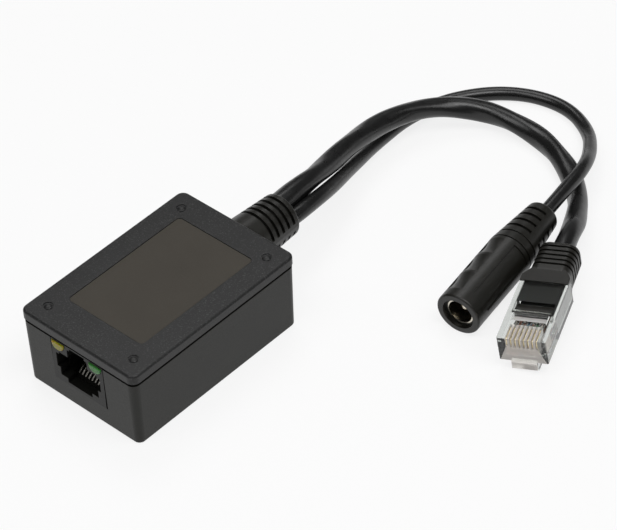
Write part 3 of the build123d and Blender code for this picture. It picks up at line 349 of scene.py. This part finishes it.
class SPLITTER_OT_network_socket(bpy.types.Operator):
    """Finishes the network socket, its springs and its two lamps"""
    bl_idname = "splitter.network_socket"
    bl_label = "Network socket"

    def execute(self, context):
        colours = context.scene.splitter_colours
        # Glass-filled PBT: close and black, slightly silky from the mould.
        pbt = finish(
            "Moulded PBT", colours.socket, roughness=0.4, grain=0.4, height=0.01, specular=0.22)
        dress("network_socket_housing", pbt)
        dress("contact_carrier", pbt)
        # A thin flash of gold over drawn bronze wire: smooth, bright and almost silver.
        dress("socket_contacts", finish(
            "Gold flash on bronze", linear("F0ECE2"), roughness=0.2, grain=0.15, height=0.003,
            mottle=0.05, mottle_width=1.0, metallic=1.0))
        # Diffused epoxy lenses, unlit: milky and tinted through.
        for node, name, base in (("lamp_yellow", "Yellow epoxy", colours.yellow_lamp),
                                 ("lamp_green", "Green epoxy", colours.green_lamp)):
            dress(node, finish(
                name, base, roughness=0.3, grain=0.5, height=0.004, specular=0.4,
                **{"Subsurface Weight": 0.4, "Subsurface Scale": 1.5 * MM}))
        return {"FINISHED"}


class SPLITTER_OT_electronics(bpy.types.Operator):
    """Finishes the board, what stands on it and the conductors inside the case"""
    bl_idname = "splitter.electronics"
    bl_label = "Electronics"

    def execute(self, context):
        # Solder resist over woven glass: the 0.5 mm weave shows as a faint relief.
        dress("circuit_board", finish(
            "Green solder resist", linear("12583A"), roughness=0.3, grain=0.5, height=0.02))
        # Bright tin, dulled a little by soldering.
        tin = finish(
            "Tinned copper", linear("C9C8C4"), roughness=0.3, grain=0.3, height=0.004, metallic=1.0)
        for node in ("lamp_leads", "line_transformer_leads", "flyback_pins", "capacitor_leads", "chip_leads"):
            dress(node, tin)
        # Transfer-moulded epoxy: grey-black and finely matt.
        epoxy = finish("Moulded epoxy", linear("1B1B1C"), roughness=0.6, grain=0.3, height=0.01)
        for node in ("line_transformer", "bridge_rectifiers", "controller_chip", "optocoupler",
                     "switching_transistor", "output_diode"):
            dress(node, epoxy)
        # Pressed and ground ferrite: stone grey with a sugary grain.
        ferrite = finish(
            "Ground ferrite", linear("37383B"), roughness=0.55, grain=0.4, height=0.02, mottle=0.2,
            mottle_width=1.5)
        dress("flyback_core", ferrite)
        dress("power_inductor", ferrite)
        # Phenolic bobbin: dark brown, hard and dull.
        dress("flyback_bobbin", finish(
            "Phenolic moulding", linear("2B211C"), roughness=0.5, grain=0.4, height=0.01))
        # Yellow polyester tape over 0.4 mm wire: glossy, faintly ridged.
        dress("flyback_winding", wound_tape("Yellow polyester tape", linear("C9A227"), turn=0.4))
        # Heat-shrunk PVC sleeve over the can: smooth and glossy.
        sleeve = finish("Shrink sleeve", linear("161A2B"), roughness=0.25, grain=1.0, height=0.01)
        dress("input_capacitor", sleeve)
        dress("output_capacitor", sleeve)
        # Fired ceramics: tan barium titanate, and black glaze over alumina.
        dress("chip_capacitors", finish(
            "Fired titanate", linear("8A6A48"), roughness=0.35, grain=0.3, height=0.005))
        dress("chip_resistors", finish(
            "Black glaze", linear("151515"), roughness=0.2, grain=0.3, height=0.003))
        # Drawn polyethylene and PVC insulation: waxy, in the wires' standard colours.
        for node, code in (("core_pair_orange", "D9742B"), ("core_pair_green", "2E7D45"),
                           ("core_pair_blue", "2A55A0"), ("core_pair_brown", "5B3A26"),
                           ("power_core_red", "B02A23"), ("power_core_black", "141414")):
            dress(node, finish(
                "Insulation " + node, linear(code), roughness=0.4, grain=0.5, height=0.004))
        return {"FINISHED"}


def cable_line(name, route):
    """The points that a cable follows, read from a smooth spline that its route steers."""
    curve = bpy.data.curves.new(name + "_line", "CURVE")
    curve.dimensions = "3D"
    spline = curve.splines.new("NURBS")
    spline.points.add(len(route) - 1)
    for point, place in zip(spline.points, route):
        point.co = (*place, 1.0)
    spline.order_u = 3
    spline.use_endpoint_u = True
    curve.resolution_u = 14
    holder = bpy.data.objects.new(name + "_line", curve)
    bpy.context.scene.collection.objects.link(holder)
    bpy.context.view_layer.update()
    evaluated = holder.evaluated_get(bpy.context.evaluated_depsgraph_get())
    mesh = bpy.data.meshes.new_from_object(evaluated)
    points = [v.co.copy() for v in mesh.vertices]
    bpy.data.objects.remove(holder)
    bpy.data.meshes.remove(mesh)
    return points


def cable_tube(name, points, sides, section):
    """A closed tube along the points, with its radius from section(distance, angle), and pressed
    flat where it lies on the floor."""
    mesh = bmesh.new()
    rings = []
    across = Vector((1, 0, 0))
    walked = 0.0
    for index, point in enumerate(points):
        ahead = points[min(index + 1, len(points) - 1)] - points[max(index - 1, 0)]
        ahead.normalize()
        across = (across - ahead * across.dot(ahead)).normalized()
        up = ahead.cross(across)
        if index:
            walked += (point - points[index - 1]).length
        ring = []
        for side in range(sides):
            angle = math.tau * side / sides
            radius = section(walked, angle)
            place = point + (across * math.cos(angle) + up * math.sin(angle)) * radius
            place.z = max(place.z, 0.0)
            ring.append(mesh.verts.new(place))
        rings.append(ring)
    for near, far in zip(rings, rings[1:]):
        for side in range(sides):
            after = (side + 1) % sides
            mesh.faces.new((near[side], near[after], far[after], far[side]))
    mesh.faces.new(list(reversed(rings[0])))
    mesh.faces.new(rings[-1])
    bmesh.ops.recalc_face_normals(mesh, faces=mesh.faces)
    data = bpy.data.meshes.new(name)
    mesh.to_mesh(data)
    mesh.free()
    data.shade_smooth()
    data.set_sharp_from_angle(angle=math.radians(CABLE_SHARP_ANGLE))
    piece = bpy.data.objects.new(name, data)
    bpy.context.scene.collection.objects.link(piece)
    return piece


def network_section(radius):
    """The jacket shrinks on to four twisted pairs, so its section is a soft, turning oval with
    lobes, and swells slowly. Lengths in metres, heights as shares of the radius."""
    lay, swell_length = 0.021, 0.034
    oval_height, lobe_height, swell_height = 0.05, 0.022, 0.03
    lobe_turns, swell_start = 1.3, 0.8

    def section(walked, angle):
        twist = math.tau * walked / lay
        oval = oval_height * math.cos(2 * (angle - twist / 2))
        lobes = lobe_height * math.cos(4 * angle - lobe_turns * twist)
        swell = swell_height * math.sin(math.tau * walked / swell_length + swell_start)
        return radius * (1 + oval + lobes + swell)

    return section


def power_section(radius):
    """Two cores under a round jacket, drawn a little fuller where the strain relief grips it."""
    lay, full_length = 0.016, 0.03
    oval_height, full_height = 0.012, 0.16

    def section(walked, angle):
        fading = max(0.0, 1 - walked / full_length)
        fullness = full_height * fading * fading * (3 - 2 * fading)
        oval = oval_height * math.cos(2 * (angle - math.pi * walked / lay))
        return radius * (1 + fullness + oval)

    return section


class SPLITTER_OT_cables(bpy.types.Operator):
    """Builds the network cable and the power cable, and finishes the strain relief"""
    bl_idname = "splitter.cables"
    bl_label = "Cables"

    def execute(self, context):
        colours = context.scene.splitter_colours
        sizes = context.scene.splitter_sizes
        # Extruded PVC jacket: black and half gloss, a little uneven over the pairs.
        jacket = finish(
            "Extruded PVC", colours.jacket, roughness=0.3, grain=3.4, height=0.06, mottle=0.08,
            mottle_width=9.0)
        # Soft PVC moulded on to the cables: duller than the jackets.
        dress("strain_relief", finish(
            "Moulded soft PVC", colours.soft, roughness=0.38, grain=0.5, height=0.012, specular=0.42))
        line = cable_line("network_cable", NETWORK_CABLE_ROUTE)
        section = network_section(sizes.network_cable / 2)
        cable = cable_tube("network_cable_jacket", line, sizes.cable_sides, section)
        cable.data.materials.append(jacket)
        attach(cable, "root")
        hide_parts("network_cable")
        line = cable_line("power_cable", POWER_CABLE_ROUTE)
        section = power_section(sizes.power_cable / 2)
        cable = cable_tube("power_cable_jacket", line, sizes.cable_sides, section)
        cable.data.materials.append(jacket)
        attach(cable, "root")
        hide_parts("power_cable")
        return {"FINISHED"}


def plug_frame():
    """The network plug's own frame: nose at Y = 0, cable at +Y."""
    turn = (
        Matrix.Rotation(math.radians(PLUG_HEADING), 4, "Z")
        @ Matrix.Rotation(math.radians(PLUG_RISE), 4, "X")
        @ Matrix.Rotation(math.radians(-PLUG_TILT), 4, "Y"))
    end = Matrix.Translation(Vector(NETWORK_CABLE_ROUTE[-1]))
    return end @ turn @ Matrix.Translation(Vector((0, -PLUG_SPAN, -PLUG_HEIGHT / 2)))


def sort_plug_faces(piece):
    """Gives the floor of the plug's crimp pocket the second material, and its comb and its nose's front face
    the third, painted pale as painted light.
    """
    own = plug_frame().inverted() @ piece.matrix_world
    for face in piece.data.polygons:
        x, y, z = own @ face.center
        if abs(x) > POCKET_HALF:
            continue
        if POCKET_START < y < POCKET_END and abs(z - POCKET_FLOOR) < FACE_SLACK:
            face.material_index = 1
        elif y < COMB_END and (z > COMB_FOOT or y < FACE_SLACK):
            face.material_index = 2


class SPLITTER_OT_network_plug(bpy.types.Operator):
    """Finishes the clear plug, its blades, its wires and its boot"""
    bl_idname = "splitter.network_plug"
    bl_label = "Network plug"

    def execute(self, context):
        colours = context.scene.splitter_colours
        # Clear injection-moulded polycarbonate: sharp mirrors outside, the wires seen through it.
        body = dress(
            "plug_body", clear_polycarbonate("Clear polycarbonate", colours.clear), PLUG_SHARP_ANGLE)
        # The crimping tool has roughened the floor of its pocket: white-grey, barely see-through.
        body.data.materials.append(ground_and_painted_pale_polycarbonate(
            "Ground polycarbonate", linear("C9C6C4"), roughness=0.55, clearness=0.25))
        # The comb is moulded round fine blades of steel. It and the nose's front face are painted milky
        # white:
        # painted light where the clear plastic looks pale.
        body.data.materials.append(ground_and_painted_pale_polycarbonate(
            "Polycarbonate painted pale", linear("F6EFE8"), roughness=0.35, clearness=0.6))
        sort_plug_faces(body)
        # Selective gold plating over stamped bronze: bright, warm, faintly streaked.
        dress("plug_blades", finish(
            "Gold-plated bronze", linear("F6E8C0"), roughness=0.24, grain=0.15, height=0.003,
            mottle=0.05, mottle_width=1.0, metallic=1.0))
        # Soft PVC pressed over the plug's tail: black, duller than the jacket.
        dress("plug_boot", finish(
            "Boot PVC", colours.soft, roughness=0.4, grain=0.5, height=0.01, specular=0.38))
        # Drawn polyethylene insulation: waxy, in colours painted paler than the wires in the case, as painted
        # light in the shade inside the clear plug.
        dress("plug_wires_striped", striped_insulation(
            "Striped insulation", white=linear("E8E2DA"), stripe=linear("D08A78")))
        for node, code in (("plug_wire_orange", "DE8257"), ("plug_wire_blue", "3A86AE"),
                           ("plug_wire_green", "2E7D45"), ("plug_wire_brown", "6B4630")):
            dress(node, finish("Plug " + node, linear(code), roughness=0.4, grain=0.4, height=0.004))
        return {"FINISHED"}


class SPLITTER_OT_power_socket(bpy.types.Operator):
    """Finishes the in-line power socket, its sleeve and its pin"""
    bl_idname = "splitter.power_socket"
    bl_label = "Power socket"

    def execute(self, context):
        colours = context.scene.splitter_colours
        # Soft PVC moulded round the metal parts: black, with a silky skin from the mould.
        dress("power_socket_body", finish(
            "Socket PVC", colours.soft, roughness=0.38, grain=0.6, height=0.012, specular=0.42))
        # Nickel over turned brass: pale and slightly warm, with fine marks from the turning.
        nickel = finish(
            "Nickel-plated brass", linear("CFC9BC"), roughness=0.2, grain=0.12, height=0.003,
            mottle=0.04, mottle_width=2.0, metallic=1.0)
        dress("power_socket_sleeve", nickel)
        dress("power_socket_pin", nickel)
        # Moulded nylon: near black and evenly dull.
        dress("power_socket_insulator", finish(
            "Nylon insulator", linear("191919"), roughness=0.5, grain=0.4, height=0.006))
        return {"FINISHED"}


def paper_floor():
    """Seamless white paper: white to the eye, and it keeps the object's soft shadow."""
    fibre_width = 1.0
    darkest, lightest = PAPER_WHITE
    material, tree = blank("Seamless paper")
    place = add(tree, "ShaderNodeTexCoord").outputs["Object"]
    fibre = add(tree, "ShaderNodeTexNoise", inputs={
        "Vector": place, "Scale": per_metre(fibre_width), "Detail": 3.0})
    tone = add(tree, "ShaderNodeMapRange", inputs={
        "Value": fibre.outputs["Fac"], "To Min": darkest, "To Max": lightest})
    sheet = add(tree, "ShaderNodeBsdfDiffuse", inputs={"Color": tone.outputs["Result"]})
    glow = add(tree, "ShaderNodeEmission", inputs={"Color": (1, 1, 1, 1), "Strength": 1.0})
    seen = add(tree, "ShaderNodeLightPath")
    either = add(tree, "ShaderNodeMath", {"operation": "MAXIMUM"}, {
        0: seen.outputs["Is Camera Ray"], 1: seen.outputs["Is Glossy Ray"]})
    either = add(tree, "ShaderNodeMath", {"operation": "MAXIMUM"}, {
        0: either.outputs["Value"], 1: seen.outputs["Is Transmission Ray"]})
    share = add(tree, "ShaderNodeMath", {"operation": "MULTIPLY"}, {
        0: either.outputs["Value"], 1: PAPER_GLOW})
    mix = add(tree, "ShaderNodeMixShader", inputs={
        0: share.outputs["Value"], 1: sheet.outputs["BSDF"], 2: glow.outputs["Emission"]})
    add(tree, "ShaderNodeOutputMaterial", inputs={"Surface": mix.outputs["Shader"]})
    return material


def studio_sky(tree):
    """Light by its height alone, so the object looks alike from every side."""
    tree.nodes.clear()
    direction = add(tree, "ShaderNodeTexCoord").outputs["Generated"]
    height = add(tree, "ShaderNodeSeparateXYZ", inputs={"Vector": direction}).outputs["Z"]
    ramp = add(tree, "ShaderNodeValToRGB", inputs={"Fac": height})
    for stop, (position, level) in zip(ramp.color_ramp.elements, SKY_LEVELS):
        stop.position = position
        stop.color = (level, level, level, 1.0)
    sky = add(tree, "ShaderNodeBackground", inputs={"Color": ramp.outputs["Color"]})
    add(tree, "ShaderNodeOutputWorld", inputs={"Surface": sky.outputs["Background"]})


def soft_box(name, place, size, power):
    """A square area light that looks at the object."""
    light = bpy.data.lights.new(name, "AREA")
    light.shape = "SQUARE"
    light.size = size
    light.energy = power
    holder = bpy.data.objects.new(name, light)
    holder.location = place
    looking = Vector(LIGHT_TARGET) - Vector(place)
    holder.rotation_euler = looking.to_track_quat("-Z", "Y").to_euler()
    bpy.context.scene.collection.objects.link(holder)


def photo_camera():
    """The camera solved from the photograph, with no shift."""
    azimuth, elevation, roll = (
        math.radians(a) for a in (CAMERA_AZIMUTH, CAMERA_ELEVATION, CAMERA_ROLL))
    back = Vector((
        math.sin(azimuth) * math.cos(elevation), -math.cos(azimuth) * math.cos(elevation),
        math.sin(elevation)))
    level = (-back).cross(Vector((0, 0, 1))).normalized()
    upright = level.cross(-back)
    right = math.cos(roll) * level + math.sin(roll) * upright
    up = -math.sin(roll) * level + math.cos(roll) * upright
    x, y, distance = CAMERA_OFFSET
    place = back * distance - right * x + up * y
    turn = Matrix((right, up, back)).transposed().to_4x4()
    data = bpy.data.cameras.new("photo_camera")
    data.sensor_fit = "HORIZONTAL"
    data.sensor_width = SENSOR_WIDTH
    data.lens = FOCAL_PIXELS * SENSOR_WIDTH / PHOTO_WIDTH
    data.clip_start = 0.01
    data.clip_end = 20.0
    camera = bpy.data.objects.new("photo_camera", data)
    camera.matrix_world = Matrix.Translation(place) @ turn
    bpy.context.scene.collection.objects.link(camera)
    bpy.context.scene.camera = camera


class SPLITTER_OT_stage(bpy.types.Operator):
    """Lays the white floor, sets the soft lights and places the camera"""
    bl_idname = "splitter.stage"
    bl_label = "Stage"

    def execute(self, context):
        scene = context.scene
        scene.view_settings.view_transform = "Standard"
        data = bpy.data.meshes.new("paper_floor")
        corners = [(x * FLOOR_HALF, y * FLOOR_HALF, 0) for x, y in ((-1, -1), (1, -1), (1, 1), (-1, 1))]
        data.from_pydata(corners, [], [(0, 1, 2, 3)])
        floor = bpy.data.objects.new("paper_floor", data)
        floor.data.materials.append(paper_floor())
        scene.collection.objects.link(floor)
        world = bpy.data.worlds.new("Studio")
        scene.world = world
        world.use_nodes = True
        studio_sky(world.node_tree)
        soft_box("overhead", OVERHEAD_PLACE, OVERHEAD_SIZE, OVERHEAD_POWER)
        height = math.radians(RING_HEIGHT)
        for index, turn in enumerate(RING_TURNS):
            angle = math.radians(turn)
            direction = Vector((
                math.cos(angle) * math.cos(height), math.sin(angle) * math.cos(height), math.sin(height)))
            place = Vector(LIGHT_TARGET) + direction * RING_DISTANCE
            soft_box(f"ring_{index}", place, RING_SIZE, RING_POWER)
        photo_camera()
        return {"FINISHED"}


STEPS = [
    SPLITTER_OT_stage,
    SPLITTER_OT_cables,
    SPLITTER_OT_case,
    SPLITTER_OT_network_socket,
    SPLITTER_OT_electronics,
    SPLITTER_OT_network_plug,
    SPLITTER_OT_power_socket,
]


class SPLITTER_PT_panel(bpy.types.Panel):
    """Lists the splitter's steps, sizes and colours"""
    bl_idname = "SPLITTER_PT_panel"
    bl_label = "Splitter"
    bl_space_type = "VIEW_3D"
    bl_region_type = "UI"
    bl_category = "Splitter"

    def draw(self, context):
        for step in STEPS:
            self.layout.operator(step.bl_idname)
        for group in (context.scene.splitter_sizes, context.scene.splitter_colours):
            for name in group.__annotations__:
                self.layout.prop(group, name)


CLASSES = [SplitterColours, SplitterSizes, *STEPS, SPLITTER_PT_panel]


def register():
    for item in CLASSES:
        bpy.utils.register_class(item)
    bpy.types.Scene.splitter_colours = PointerProperty(type=SplitterColours)
    bpy.types.Scene.splitter_sizes = PointerProperty(type=SplitterSizes)


def unregister():
    del bpy.types.Scene.splitter_sizes
    del bpy.types.Scene.splitter_colours
    for item in reversed(CLASSES):
        bpy.utils.unregister_class(item)


def main():
    register()
    for step in STEPS:
        group, name = step.bl_idname.split(".")
        getattr(getattr(bpy.ops, group), name)()


if __name__ == "__main__":
    main()
